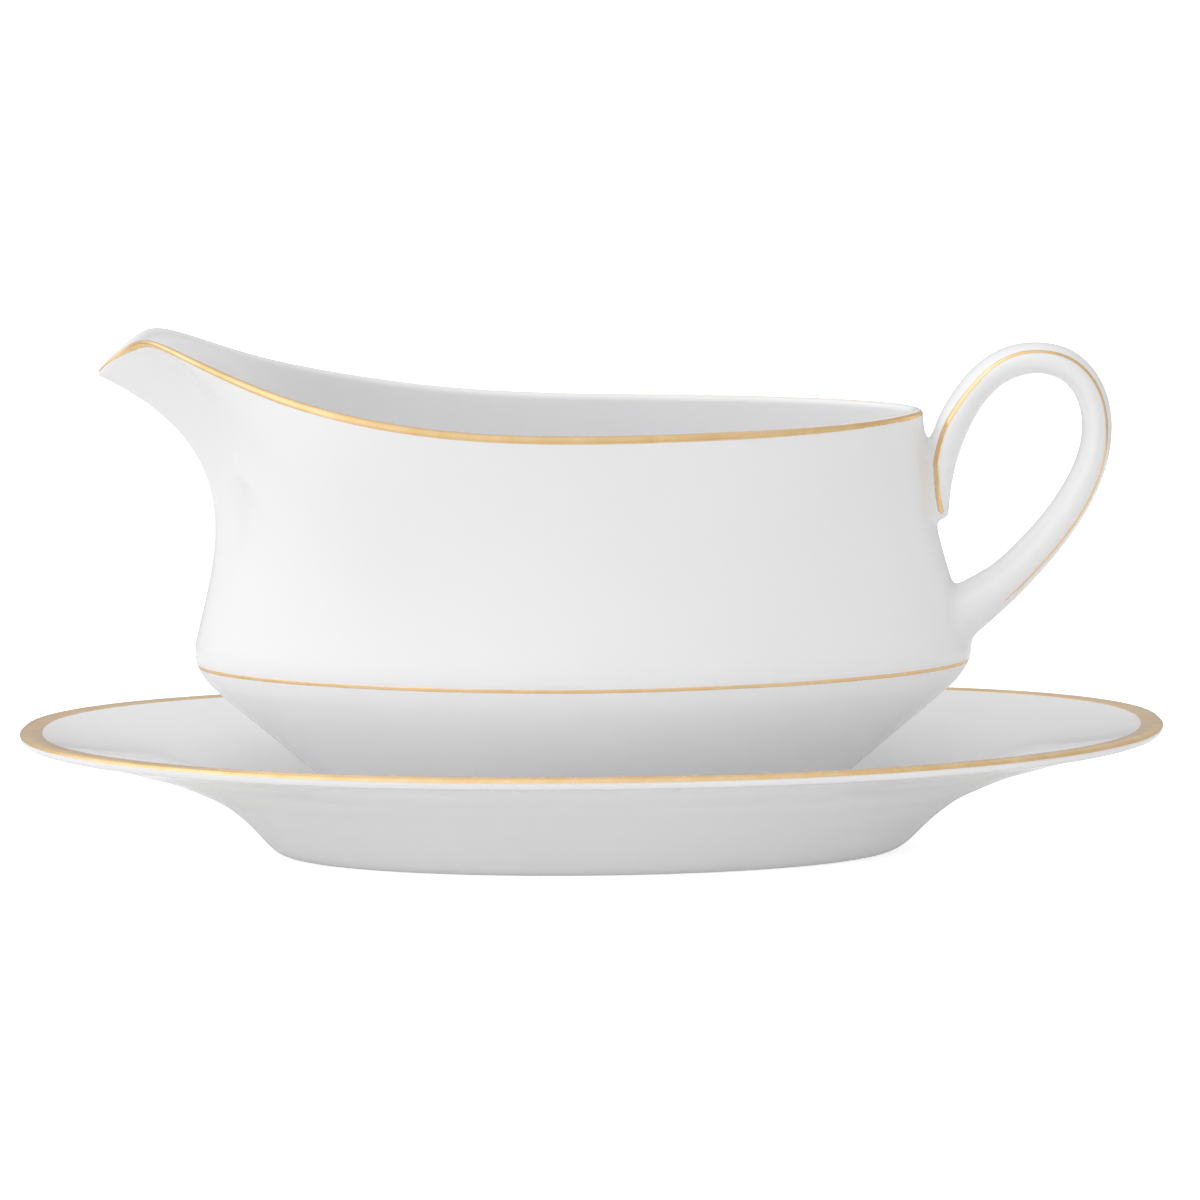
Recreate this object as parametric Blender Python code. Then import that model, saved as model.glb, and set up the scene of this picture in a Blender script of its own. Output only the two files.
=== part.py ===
"""Porcelain gravy boat on its oval stand, lined in gold.

The stand rests on the table and the boat stands loose in its well. The pouring lip points
to -X and the handle to +X. The origin is the middle of the stand's foot, at table height.
All lengths below are in millimetres; the meshes are built in metres.
"""

import math

import bmesh
import bpy
import numpy as np

MM = 0.001
CLEARANCE = 0.3
GOLD_THICKNESS = 0.25
SHARP_ANGLE = 40.0
DENSE_POINTS = 801

# Stand: an oval dish whose rim lifts a little at both ends.
STAND_HALF_LENGTH = 117.5
STAND_HALF_WIDTH = 70.0
STAND_RIM_SHAPE = 2.26
STAND_END_LIFT = 1.35
STAND_FOOT_HALF_LENGTH = 60.5
STAND_FOOT_HALF_WIDTH = 34.0
STAND_FOOT_SHAPE = 2.03
STAND_FOOT_OFFSET = -1.6
STAND_OFFSET_FADE = 6
STAND_LIFT_FADE = 3
STAND_COLUMNS = 72
STAND_GOLD_WIDTH = 4.2

# Half length and height of each level of the stand: its foot ring, the curve of its
# underside, its edge, and the curve of its top down into the well.
STAND_FOOT = [(53.0, 1.6), (56.0, 1.3), (58.0, 0.0), (61.5, 0.0)]
STAND_UNDERSIDE = [
    (64.5, 0.9), (69.6, 5.7), (76.2, 11.3), (88.0, 16.7), (104.0, 20.7), (116.4, 22.5),
]
STAND_EDGE = [(117.5, 23.6), (117.1, 24.5), (116.0, 24.9), (113.3, 24.7)]
STAND_EDGE_FACING = [(1.0, 0.0), (0.7, 0.7), (0.0, 1.0), (0.0, 1.0)]
STAND_TOP = [
    (106.0, 24.0), (92.0, 21.9), (80.5, 17.6), (71.0, 11.5), (61.5, 6.7), (50.0, 5.5),
]
STAND_CURVE_RINGS = 11

# Boat: a foot, a cone that flares to the shoulder, and a wall that leans in to the rim.
SHOULDER_HALF_LENGTH = 80.0
SHOULDER_HALF_WIDTH = 44.5
SHOULDER_SHAPE = 1.8
SHOULDER_HEIGHT = 41.8
BOAT_OFFSET = -1.5
BOAT_FOOT_HALF_LENGTH = 42.0
BOAT_FOOT_HALF_WIDTH = 23.5
BOAT_WALL = 3.2
BOAT_COLUMNS = 72
SPOUT_CROWDING = 1.25

BOAT_UNDERSIDE = [
    (36.5, 7.3), (38.5, 5.8), (42.0, 5.8), (43.2, 6.9), (59.0, 20.1), (75.4, 34.0),
    (77.5, 36.15), (79.0, 38.4), (79.85, 40.4),
]
BOAT_FLOOR = [(76.3, 39.2), (73.4, 36.2), (58.0, 23.2), (44.5, 12.4), (39.0, 10.8)]

# Rim from the pouring tip to the handle end: x, half width, height and lip thickness.
RIM_POINTS = [
    (-100.2, 0.0, 100.4, 2.9), (-98.9, 2.1, 102.0, 1.7), (-96.0, 3.6, 104.5, 1.7),
    (-92.6, 6.6, 106.8, 1.9), (-89.2, 12.2, 107.8, 2.2), (-83.5, 17.9, 106.1, 2.4),
    (-72.0, 24.4, 101.4, 2.5), (-55.0, 34.0, 96.2, 2.6), (-30.0, 39.2, 91.9, 2.6),
    (0.0, 38.2, 90.3, 2.6), (30.0, 32.4, 90.3, 2.6), (52.0, 22.6, 90.5, 2.6),
    (63.5, 13.2, 90.8, 2.6), (68.5, 0.0, 91.0, 2.6),
]
LIP_ROUNDING = 0.8
LIP_TOP = (0.3, 0.7)
SPOUT_TIP_RISE = 0.6

# How the wall bows between shoulder and rim, at the spout, the flanks and the handle end.
SHOULDER_RISE = (16.9, 22.0, 25.0)
SHOULDER_LEAN = (3.5, 5.0, 7.9)
RIM_DROP = (17.8, 21.0, 21.5)
RIM_LEAN = (0.0, -0.5, -1.5)
SPOUT_UNDERCUT = 34.5
SPOUT_REACH = 0.4
HANDLE_END_START = 0.6

# Handle, from its tail below the rim round the loop to the wall: x, z, thickness, width.
HANDLE_POINTS = [
    (72.1, 69.2, 2.6, 7.5), (72.1, 72.5, 3.4, 9.0), (72.4, 78.0, 4.8, 10.0),
    (74.0, 85.4, 6.0, 11.0), (77.0, 91.7, 6.3, 12.0), (81.6, 97.4, 6.4, 12.2),
    (87.3, 100.6, 6.4, 12.2), (92.3, 101.2, 6.3, 12.2), (97.9, 99.7, 6.3, 12.2),
    (102.1, 95.4, 6.1, 12.0), (104.1, 88.0, 6.1, 11.8), (103.3, 81.0, 6.3, 11.6),
    (100.3, 73.7, 6.8, 11.6), (95.8, 66.8, 7.2, 11.6), (90.3, 60.4, 7.7, 11.8),
    (84.8, 55.1, 8.4, 12.2), (80.4, 51.8, 9.6, 13.0), (73.0, 46.8, 11.5, 14.0),
]
HANDLE_RINGS = 40
HANDLE_SIDES = 16
HANDLE_LINE_ANGLE = 55.0
HANDLE_LINE_WIDTH = 0.8
HANDLE_LINE_START = 0.02
HANDLE_LINE_END = 0.86
HANDLE_LINE_RINGS = 30

SHOULDER_LINE = (38.7, 39.7)
RIM_LINE_DEPTH = 0.02
RIM_LINE_TOP = (0.3, 0.55)
WALL_PLACES = [*np.linspace(0, 0.92, 12), 1 - RIM_LINE_DEPTH, 1.0]


def smooth_path(points, samples, mirror_y=False):
    """Smooth curve through the given points, which may carry on mirrored past its ends."""
    points = np.array(points, float)
    if mirror_y:
        flip = np.ones(points.shape[1])
        flip[1] = -1
        padded = np.vstack([points[1] * flip, points, points[-2] * flip])
    else:
        padded = np.vstack([2 * points[0] - points[1], points, 2 * points[-1] - points[-2]])
    result = []
    for place in np.linspace(0, len(points) - 1, samples):
        start = min(int(place), len(points) - 2)
        t = place - start
        before, here, after, beyond = padded[start:start + 4]
        slope_here = (after - before) / 2
        slope_after = (beyond - here) / 2
        result.append((2 * t**3 - 3 * t**2 + 1) * here + (t**3 - 2 * t**2 + t) * slope_here
                      + (3 * t**2 - 2 * t**3) * after + (t**3 - t**2) * slope_after)
    return np.array(result)


def spread(path, columns, crowding=1.0):
    """Half a ring of points along a dense path, crowded towards its start."""
    steps = np.linalg.norm(np.diff(path[:, :2], axis=0), axis=1)
    travelled = np.concatenate([[0.0], np.cumsum(steps)])
    wanted = travelled[-1] * np.linspace(0, 1, columns // 2 + 1) ** crowding
    return np.stack([np.interp(wanted, travelled, path[:, i]) for i in range(path.shape[1])], 1)


def mirrored(half):
    """A whole ring from the half that runs along +Y from the -X end to the +X end."""
    other = half[-2:0:-1] * [1, -1, 1]
    return np.vstack([half, other])


def oval_half(half_length, half_width, shape, offset, height, columns, crowding=1.0):
    """Half of a superellipse ring, from its -X end round to its +X end."""
    angles = np.linspace(math.pi, 0, DENSE_POINTS)
    cosine, sine = np.cos(angles), np.abs(np.sin(angles))
    x = offset + half_length * np.sign(cosine) * np.abs(cosine) ** (2 / shape)
    y = half_width * sine ** (2 / shape)
    path = np.stack([x, y, np.full_like(x, height)], 1)
    path[[0, -1], 1] = 0.0
    return spread(path, columns, crowding)


def stand_ring(half_length, height, outset=0.0):
    """One level of the stand: the rim keeps its width all round, and the well narrows."""
    inset = STAND_HALF_LENGTH - half_length
    edge = min(inset, STAND_GOLD_WIDTH)
    narrowing = (STAND_HALF_WIDTH - STAND_GOLD_WIDTH - STAND_FOOT_HALF_WIDTH) / (
        STAND_HALF_LENGTH - STAND_GOLD_WIDTH - STAND_FOOT_HALF_LENGTH)
    half_width = STAND_HALF_WIDTH - edge - (inset - edge) * narrowing
    spread_out = (half_length - STAND_FOOT_HALF_LENGTH) / (
        STAND_HALF_LENGTH - STAND_FOOT_HALF_LENGTH)
    spread_out = min(max(spread_out, 0.0), 1.0)
    shape = STAND_FOOT_SHAPE + (STAND_RIM_SHAPE - STAND_FOOT_SHAPE) * spread_out
    offset = STAND_FOOT_OFFSET * (1 - spread_out) ** STAND_OFFSET_FADE
    ring = mirrored(oval_half(half_length + outset, half_width + outset, shape, offset,
                              height, STAND_COLUMNS))
    towards_ends = (ring[:, 0] / STAND_HALF_LENGTH) ** 2
    ring[:, 2] += STAND_END_LIFT * spread_out ** STAND_LIFT_FADE * towards_ends
    return ring


def stand_edge_rings(lift):
    """Rings just off the stand's edge, from its outside over its top."""
    return [stand_ring(a, z + lift * up, lift * out)
            for (a, z), (out, up) in zip(STAND_EDGE, STAND_EDGE_FACING)]


def boat_half_width(half_length):
    """Half width of the boat below its shoulder, where the cone narrows to the foot."""
    inset = SHOULDER_HALF_LENGTH - half_length
    edge = min(inset, BOAT_WALL)
    narrowing = (SHOULDER_HALF_WIDTH - BOAT_WALL - BOAT_FOOT_HALF_WIDTH) / (
        SHOULDER_HALF_LENGTH - BOAT_WALL - BOAT_FOOT_HALF_LENGTH)
    return SHOULDER_HALF_WIDTH - edge - (inset - edge) * narrowing


def boat_half(half_length, height, outset=0.0):
    """Half of one level ring of the boat at or below its shoulder."""
    return oval_half(half_length + outset, boat_half_width(half_length) + outset,
                     SHOULDER_SHAPE, BOAT_OFFSET, height, BOAT_COLUMNS, SPOUT_CROWDING)


def inward(half):
    """Level unit vectors that point from each point of a half ring to the inside."""
    along = np.gradient(half[:, :2], axis=0)
    along[0], along[-1] = (0.0, 1.0), (0.0, -1.0)
    along /= np.linalg.norm(along, axis=1)[:, None]
    return np.stack([along[:, 1], -along[:, 0], np.zeros(len(along))], 1)


def rim_halves(outset=0.0):
    """Outer and inner edge of the rim, as half rings whose points lie side by side."""
    dense = smooth_path(RIM_POINTS, DENSE_POINTS, mirror_y=True)
    outer_path = dense[:, :3] - inward(dense[:, :3]) * outset
    both = spread(np.hstack([outer_path, dense[:, 3:]]), BOAT_COLUMNS, SPOUT_CROWDING)
    outer = both[:, :3]
    inner = outer + inward(outer) * both[:, 3:]
    inner[0, 2] += both[0, 3] * SPOUT_TIP_RISE
    inner[:, 1] = np.maximum(inner[:, 1], 0.0)
    return outer, inner


def mix(values):
    """A value for each column from its values at the spout, the flanks and the handle."""
    place = np.linspace(0, 1, BOAT_COLUMNS // 2 + 1)
    spout = np.clip(1 - place / SPOUT_REACH, 0, 1) ** 2
    handle = np.clip((place - HANDLE_END_START) / (1 - HANDLE_END_START), 0, 1) ** 2
    weights = np.stack([spout, 1 - spout - handle, handle], 1)
    return (weights @ np.array(values, float))[:, None]


def wall_half(shoulder, rim, place):
    """Half ring of the boat's wall, at a place from 0 at the shoulder to 1 at the rim."""
    up = np.array([0.0, 0.0, 1.0])
    along = np.array([1.0, 0.0, 0.0])
    low = shoulder + up * mix(SHOULDER_RISE) + inward(shoulder) * mix(SHOULDER_LEAN)
    high = rim - up * mix(RIM_DROP) + inward(rim) * mix(RIM_LEAN)
    high = high + along * mix((SPOUT_UNDERCUT, 0.0, 0.0))
    s = 1 - place
    return s**3 * shoulder + 3 * s**2 * place * low + 3 * s * place**2 * high + place**3 * rim


def boat_outside(outset=0.0):
    """Rings of the boat's outside, from under its foot to just below the rim."""
    rings = [boat_half(a, z, outset) for a, z in BOAT_UNDERSIDE]
    shoulder = boat_half(SHOULDER_HALF_LENGTH, SHOULDER_HEIGHT, outset)
    rim = rim_halves(outset)[0] - [0, 0, LIP_ROUNDING]
    rings += [wall_half(shoulder, rim, place) for place in WALL_PLACES]
    return rings


def boat_inside():
    """Rings of the boat's inside, from just below the lip down to its floor."""
    shoulder = boat_half(SHOULDER_HALF_LENGTH - BOAT_WALL, SHOULDER_HEIGHT)
    rim = rim_halves()[1] - [0, 0, LIP_ROUNDING]
    rings = [wall_half(shoulder, rim, place) for place in WALL_PLACES[::-1]]
    return rings + [boat_half(a, z) for a, z in BOAT_FLOOR]


def lip_half(across, rise=0.0):
    """Half ring on top of the lip, at a place from 0 at its outer edge to 1 at its inner."""
    outer, inner = rim_halves()
    return outer + (inner - outer) * across + [0, 0, rise]


def skin(name, rings, material, collection, closed=False):
    """Solid between rings of equal count: capped at both ends, or closed into a band."""
    count = len(rings[0])
    mesh = bmesh.new()
    rows = [[mesh.verts.new(point * MM) for point in ring] for ring in rings]
    pairs = list(zip(rows, rows[1:] + rows[:1])) if closed else list(zip(rows, rows[1:]))
    for low, high in pairs:
        for i in range(count):
            j = (i + 1) % count
            mesh.faces.new((low[i], low[j], high[j], high[i]))
    if not closed:
        mesh.faces.new(rows[0])
        mesh.faces.new(rows[-1])
    bmesh.ops.recalc_face_normals(mesh, faces=mesh.faces)
    data = bpy.data.meshes.new(name)
    mesh.to_mesh(data)
    mesh.free()
    data.shade_smooth()
    data.set_sharp_from_angle(angle=math.radians(SHARP_ANGLE))
    data.materials.append(material)
    item = bpy.data.objects.new(name, data)
    collection.objects.link(item)
    return item


def handle_frames(rings, start=0.0, end=1.0):
    """Centre, outward direction, half thickness and half width along the handle."""
    dense = smooth_path(HANDLE_POINTS, DENSE_POINTS)
    travelled = np.concatenate([[0.0], np.cumsum(
        np.linalg.norm(np.diff(dense[:, :2], axis=0), axis=1))])
    wanted = travelled[-1] * np.linspace(start, end, rings)
    columns = [np.interp(wanted, travelled, dense[:, i]) for i in range(4)]
    slope = [np.interp(wanted, travelled, np.gradient(dense[:, i])) for i in range(2)]
    length = np.hypot(*slope)
    centre = np.stack([columns[0], np.zeros(rings), columns[1]], 1)
    outward = np.stack([-slope[1] / length, np.zeros(rings), slope[0] / length], 1)
    return centre, outward, columns[2][:, None] / 2, columns[3][:, None] / 2


def handle_strip(frames, angle, lift=0.0):
    """Line of points along the handle, at an angle from the crown of its outer face."""
    centre, outward, half_thickness, half_width = frames
    sideways = np.array([0.0, 1.0, 0.0])
    return (centre + outward * (half_thickness + lift) * np.cos(angle)
            + sideways * (half_width + lift) * np.sin(angle))


def make_stand(porcelain, gold, collection):
    levels = [*STAND_FOOT, *smooth_path(STAND_UNDERSIDE, STAND_CURVE_RINGS), *STAND_EDGE,
              *smooth_path(STAND_TOP, STAND_CURVE_RINGS)]
    stand = skin("saucer", [stand_ring(a, z) for a, z in levels], porcelain, collection)
    rings = stand_edge_rings(CLEARANCE) + stand_edge_rings(CLEARANCE + GOLD_THICKNESS)[::-1]
    band = skin("saucer_gold_band", rings, gold, collection, closed=True)
    return [stand, band]


def make_boat_body(porcelain, collection):
    lip = [lip_half(across) for across in LIP_TOP]
    halves = boat_outside() + lip + boat_inside()
    return skin("boat_body", [mirrored(half) for half in halves], porcelain, collection)


def make_shoulder_line(gold, collection):
    (low_a, low_z), (high_a, high_z) = BOAT_UNDERSIDE[-2:]
    corners = []
    for height in SHOULDER_LINE:
        share = (height - low_z) / (high_z - low_z)
        corners.append((low_a + (high_a - low_a) * share, height))
    rings = [boat_half(a, z, CLEARANCE) for a, z in corners]
    rings += [boat_half(a, z, CLEARANCE + GOLD_THICKNESS) for a, z in reversed(corners)]
    return skin("boat_shoulder_gold_line", [mirrored(half) for half in rings], gold,
                collection, closed=True)


def rim_line_path(lift):
    """Half rings just off the lip, from the wall below it to the middle of its top."""
    shoulder = boat_half(SHOULDER_HALF_LENGTH, SHOULDER_HEIGHT, lift)
    rim = rim_halves(lift)[0] - [0, 0, LIP_ROUNDING]
    under_spout = np.array([0.0, 0.0, 1.0]) * mix((lift, 0.0, 0.0))
    wall = [wall_half(shoulder, rim, 1 - RIM_LINE_DEPTH) - under_spout, rim - under_spout]
    return wall + [lip_half(across, lift) for across in RIM_LINE_TOP]


def make_rim_line(gold, collection):
    rings = rim_line_path(CLEARANCE) + rim_line_path(CLEARANCE + GOLD_THICKNESS)[::-1]
    return skin("boat_rim_gold_line", [mirrored(half) for half in rings], gold, collection,
                closed=True)


def make_handle(porcelain, collection, cutters):
    frames = handle_frames(HANDLE_RINGS)
    angles = np.linspace(0, 2 * math.pi, HANDLE_SIDES, endpoint=False)
    strips = np.array([handle_strip(frames, angle) for angle in angles])
    handle = skin("boat_handle", strips.transpose(1, 0, 2), porcelain, collection)
    wall = skin("boat_wall_clearance", [mirrored(half) for half in boat_outside(CLEARANCE)],
                porcelain, cutters)
    wall.display_type = "WIRE"
    wall.hide_render = True
    cut = handle.modifiers.new("wall", "BOOLEAN")
    cut.operation = "DIFFERENCE"
    cut.solver = "EXACT"
    cut.object = wall
    return handle


def make_handle_line(name, side, gold, collection):
    frames = handle_frames(HANDLE_LINE_RINGS, HANDLE_LINE_START, HANDLE_LINE_END)
    middle = math.radians(HANDLE_LINE_ANGLE)
    mean_diameter = frames[2].mean() + frames[3].mean()
    half_angle = HANDLE_LINE_WIDTH / mean_diameter
    corners = [(middle - half_angle, CLEARANCE), (middle + half_angle, CLEARANCE),
               (middle + half_angle, CLEARANCE + GOLD_THICKNESS),
               (middle - half_angle, CLEARANCE + GOLD_THICKNESS)]
    strips = np.array([handle_strip(frames, angle, lift) for angle, lift in corners])
    strips = strips * [1, side, 1]
    return skin(name, strips.transpose(1, 0, 2), gold, collection)


def make_material(name, colour, roughness, metallic):
    material = bpy.data.materials.new(name)
    material.use_nodes = True
    shader = material.node_tree.nodes["Principled BSDF"]
    shader.inputs["Base Color"].default_value = (*colour, 1)
    shader.inputs["Roughness"].default_value = roughness
    shader.inputs["Metallic"].default_value = metallic
    return material


def make_collection(name):
    collection = bpy.data.collections.new(name)
    bpy.context.scene.collection.children.link(collection)
    return collection


def main():
    for item in list(bpy.data.objects):
        bpy.data.objects.remove(item)
    collection = make_collection("gravy_boat")
    cutters = make_collection("cutters")
    porcelain = make_material("white_porcelain", (0.86, 0.86, 0.87), roughness=0.12, metallic=0)
    gold = make_material("gold_lining", (0.82, 0.60, 0.30), roughness=0.25, metallic=1)

    stand_parts = make_stand(porcelain, gold, collection)
    boat_parts = [
        make_boat_body(porcelain, collection),
        make_handle(porcelain, collection, cutters),
        make_rim_line(gold, collection),
        make_shoulder_line(gold, collection),
        make_handle_line("handle_gold_line_left", 1, gold, collection),
        make_handle_line("handle_gold_line_right", -1, gold, collection),
    ]
    for name, parts in (("stand", stand_parts), ("boat", boat_parts)):
        carrier = bpy.data.objects.new(name, None)
        collection.objects.link(carrier)
        for part in parts:
            part.parent = carrier


main()
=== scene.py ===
"""Porcelain gravy boat on its stand: fine surfaces, white glaze and fired gold around the frame.

The pouring lip points to -X and the handle to +X. Lengths are in millimetres, in the frame's
own axes, and the meshes are built in metres.
"""

import math

import bpy
import numpy as np
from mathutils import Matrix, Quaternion, Vector


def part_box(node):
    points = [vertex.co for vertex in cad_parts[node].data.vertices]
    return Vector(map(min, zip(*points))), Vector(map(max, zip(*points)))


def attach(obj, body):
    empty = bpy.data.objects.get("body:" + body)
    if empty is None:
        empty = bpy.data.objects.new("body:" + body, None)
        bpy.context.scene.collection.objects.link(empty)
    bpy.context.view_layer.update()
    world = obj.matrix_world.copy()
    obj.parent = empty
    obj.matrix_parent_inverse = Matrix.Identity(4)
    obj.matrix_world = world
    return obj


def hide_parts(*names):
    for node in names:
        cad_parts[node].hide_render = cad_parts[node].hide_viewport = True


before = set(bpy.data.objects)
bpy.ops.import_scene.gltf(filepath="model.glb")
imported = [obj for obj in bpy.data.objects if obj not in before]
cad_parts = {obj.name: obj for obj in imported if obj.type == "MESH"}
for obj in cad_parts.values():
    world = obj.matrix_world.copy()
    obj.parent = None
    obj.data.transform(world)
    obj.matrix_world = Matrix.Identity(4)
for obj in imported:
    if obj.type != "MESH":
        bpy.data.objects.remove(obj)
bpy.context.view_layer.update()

MM = 0.001
UP = np.array([0.0, 0.0, 1.0])
DENSE = 1601

# Stand: half lengths and heights, measured from the frame's box where it gives them.
stand_low, stand_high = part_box("saucer")
STAND_HALF_LENGTH = (stand_high.x - stand_low.x) / 2 / MM
STAND_HALF_WIDTH = (stand_high.y - stand_low.y) / 2 / MM
STAND_RIM_SHAPE = 2.26
STAND_END_LIFT = 1.35
STAND_FOOT_HALF_LENGTH = 60.5
STAND_FOOT_HALF_WIDTH = 34.0
STAND_FOOT_SHAPE = 2.03
STAND_FOOT_OFFSET = -1.3
STAND_OFFSET_FADE = 6
STAND_LIFT_FADE = 3
STAND_GOLD_WIDTH = 4.2
STAND_COLUMNS = 384
STAND_PROFILE = [
    (10.0, 1.9), (38.0, 1.9), (51.0, 1.7), (55.5, 1.5), (57.2, 0.7), (58.6, 0.0), (60.9, 0.0),
    (62.6, 0.25), (64.7, 1.2), (67.0, 3.2), (69.6, 5.9), (72.5, 8.45), (76.2, 11.1),
    (81.5, 13.7), (88.0, 16.3), (96.0, 18.6), (104.0, 20.6), (111.0, 21.85), (115.6, 22.6),
    (117.1, 23.25), (117.5, 24.0), (116.9, 24.75), (115.6, 25.05), (112.5, 24.85), (106.0, 24.05),
    (98.8, 23.1), (92.0, 21.9), (86.0, 20.05), (80.5, 17.6), (75.6, 14.6), (71.0, 11.5),
    (66.4, 8.8), (61.5, 6.8), (55.9, 5.75), (50.0, 5.5), (30.0, 5.5), (10.0, 5.5),
]
STAND_ROWS = 260
OVAL_KNOTS = 15

# Boat below its shoulder: half length and height, outside and then inside.
SHOULDER_HALF_LENGTH = 80.0
SHOULDER_HALF_WIDTH = 44.5
SHOULDER_SHAPE = 1.8
BOAT_OFFSET = -1.5
BOAT_FOOT_HALF_LENGTH = 42.0
BOAT_FOOT_HALF_WIDTH = 23.5
BOAT_WALL = 3.2
BOAT_COLUMNS = 400
BOAT_OUTSIDE = [
    (8.0, 7.6), (28.0, 7.6), (36.0, 7.4), (37.8, 6.6), (39.2, 5.85), (41.2, 5.85), (42.6, 6.5),
    (43.9, 7.5), (51.0, 13.4), (59.0, 20.1), (67.3, 27.1), (75.3, 33.9), (77.5, 36.15),
    (79.1, 38.5), (79.85, 40.4), (80.0, 41.8),
]
BOAT_INSIDE = [
    (76.8, 41.8), (76.6, 40.4), (75.6, 38.2), (73.4, 36.0), (66.0, 29.9), (58.0, 23.2),
    (50.5, 16.9), (45.0, 12.7), (40.0, 11.0), (34.0, 10.8), (20.0, 10.8), (8.0, 10.8),
]

# Rim from the pouring tip to the handle end: x, half width and height.
RIM_OUTER = [
    (-100.2, 0.0, 100.4), (-98.9, 2.1, 102.0), (-96.0, 3.9, 104.5), (-92.6, 7.0, 106.9),
    (-89.2, 12.2, 107.8), (-83.5, 17.9, 106.1), (-72.0, 24.6, 101.4), (-55.0, 34.0, 96.2),
    (-30.0, 39.2, 91.9), (0.0, 38.2, 90.3), (30.0, 32.4, 90.3), (52.0, 22.6, 90.5),
    (63.5, 12.0, 90.8), (68.5, 0.0, 91.0),
]
RIM_INNER = [
    (-96.3, 0.0, 102.2), (-94.0, 2.9, 105.0), (-91.2, 5.6, 107.0), (-87.6, 10.6, 107.6),
    (-82.4, 15.7, 106.0), (-71.2, 22.2, 101.4), (-54.4, 31.5, 96.2), (-29.8, 36.6, 91.9),
    (-0.2, 35.6, 90.3), (29.4, 29.9, 90.3), (50.4, 20.6, 90.5), (61.3, 10.6, 90.8),
    (65.9, 0.0, 91.0),
]

# Rows of the boat's rings below the shoulder, up the wall and over the lip, and its height.
LOWER_ROWS = 110
WALL_ROWS = 90
LIP_ROWS = 14
LIP_HEIGHT = 1.15

# How often the rows round the shoulder are eased into each other, and how many of them before
# and after it, outside and inside.
SHOULDER_ROUNDS = 12
SOFT_OUTSIDE = (9, 8)
SOFT_INSIDE = (12, 12)

# How the boat's columns crowd at its ends: the share that crowds, and the power of the rest.
CROWDED_SHARE = 0.6
EVEN_POWER = 1.2

# How the wall bows between shoulder and rim, at the spout, the flanks and the handle end.
SHOULDER_RISE = (16.5, 22.0, 25.0)
SHOULDER_LEAN = (3.0, 5.0, 7.9)
RIM_DROP = (16.5, 21.0, 21.5)
RIM_LEAN = (0.0, -0.5, -1.5)
SPOUT_UNDERCUT = 34.2
SPOUT_REACH = 0.34
HANDLE_END_START = 0.5

# Handle, from its tail below the rim round the loop to the wall: x, z, thickness, width.
HANDLE_POINTS = [
    (72.2, 69.4, 2.8, 7.2), (72.1, 72.5, 3.6, 8.6), (72.4, 78.0, 4.8, 10.0),
    (73.8, 85.4, 6.5, 11.2), (76.9, 91.7, 6.5, 12.0), (81.6, 97.4, 6.4, 12.2),
    (87.3, 100.6, 6.4, 12.2), (92.3, 101.2, 6.3, 12.2), (97.9, 99.7, 6.3, 12.2),
    (102.1, 95.4, 6.1, 12.0), (104.1, 88.0, 6.1, 11.8), (103.3, 81.0, 6.3, 11.6),
    (100.3, 73.7, 6.8, 11.6), (95.8, 66.8, 7.2, 11.6), (90.3, 60.4, 7.7, 11.8),
    (84.8, 55.1, 8.4, 12.2), (80.4, 51.8, 9.6, 13.0), (73.0, 46.8, 11.5, 14.0),
]
TAIL_ROUNDING = 0.9

# The fillet's reach at the handle's upper and lower ends, and the heights it changes between.
FILLET_UPPER = 4.5
FILLET_LOWER = 3.0
FILLET_CHANGE = (60.0, 67.0)

# The fillet fades out to a small share of itself just under the rim's gold.
RIM_CLEAR = 89.2
RIM_FADE = 4.0
RIM_LEFT = 0.1

# The net keeps a skirt round the handle: its depth in the wall and its margin past the fillet.
SKIRT_DEPTH = 1.0
SKIRT_MARGIN = 0.5
NET_STEP = 0.5


def spline(points, samples, closed=False):
    """Smooth cubic curve through the given points."""
    points = np.array(points, float)
    if closed:
        points = np.vstack([points, points[:1]])
    gaps = np.linalg.norm(np.diff(points[:, :3], axis=0), axis=1)
    slopes = np.diff(points, axis=0) / gaps[:, None]
    system = np.eye(len(points))
    right = np.zeros_like(points)
    for i in range(1, len(points) - 1):
        system[i, i - 1:i + 2] = gaps[i - 1], 2 * (gaps[i - 1] + gaps[i]), gaps[i]
        right[i] = 6 * (slopes[i] - slopes[i - 1])
    if closed:
        system[0, [0, 1, -2]] = 2 * (gaps[-1] + gaps[0]), gaps[0], gaps[-1]
        right[0] = 6 * (slopes[0] - slopes[-1])
        system[-1, [0, -1]] = -1, 1
    bends = np.linalg.solve(system, right)
    knots = np.concatenate([[0.0], np.cumsum(gaps)])
    at = np.linspace(0, knots[-1], samples)
    i = np.clip(np.searchsorted(knots, at, side="right") - 1, 0, len(gaps) - 1)
    b = ((at - knots[i]) / gaps[i])[:, None]
    a = 1 - b
    bend = (a**3 - a) * bends[i] + (b**3 - b) * bends[i + 1]
    return a * points[i] + b * points[i + 1] + bend * gaps[i][:, None] ** 2 / 6


def resample(path, shares):
    """Points of a dense path at the given shares of its length."""
    steps = np.linalg.norm(np.diff(path[:, :3], axis=0), axis=1)
    travelled = np.concatenate([[0.0], np.cumsum(steps)])
    wanted = travelled[-1] * shares
    return np.stack([np.interp(wanted, travelled, path[:, i]) for i in range(path.shape[1])], 1)


def half_of_ring(points, shares):
    """Half of the closed smooth ring through points given from -X round by +Y to +X."""
    points = np.array(points, float)
    others = points[-2:0:-1] * [1, -1, 1]
    ring = spline(np.vstack([points, others]), 2 * DENSE - 1, closed=True)
    return resample(ring[:DENSE], shares)


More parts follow.
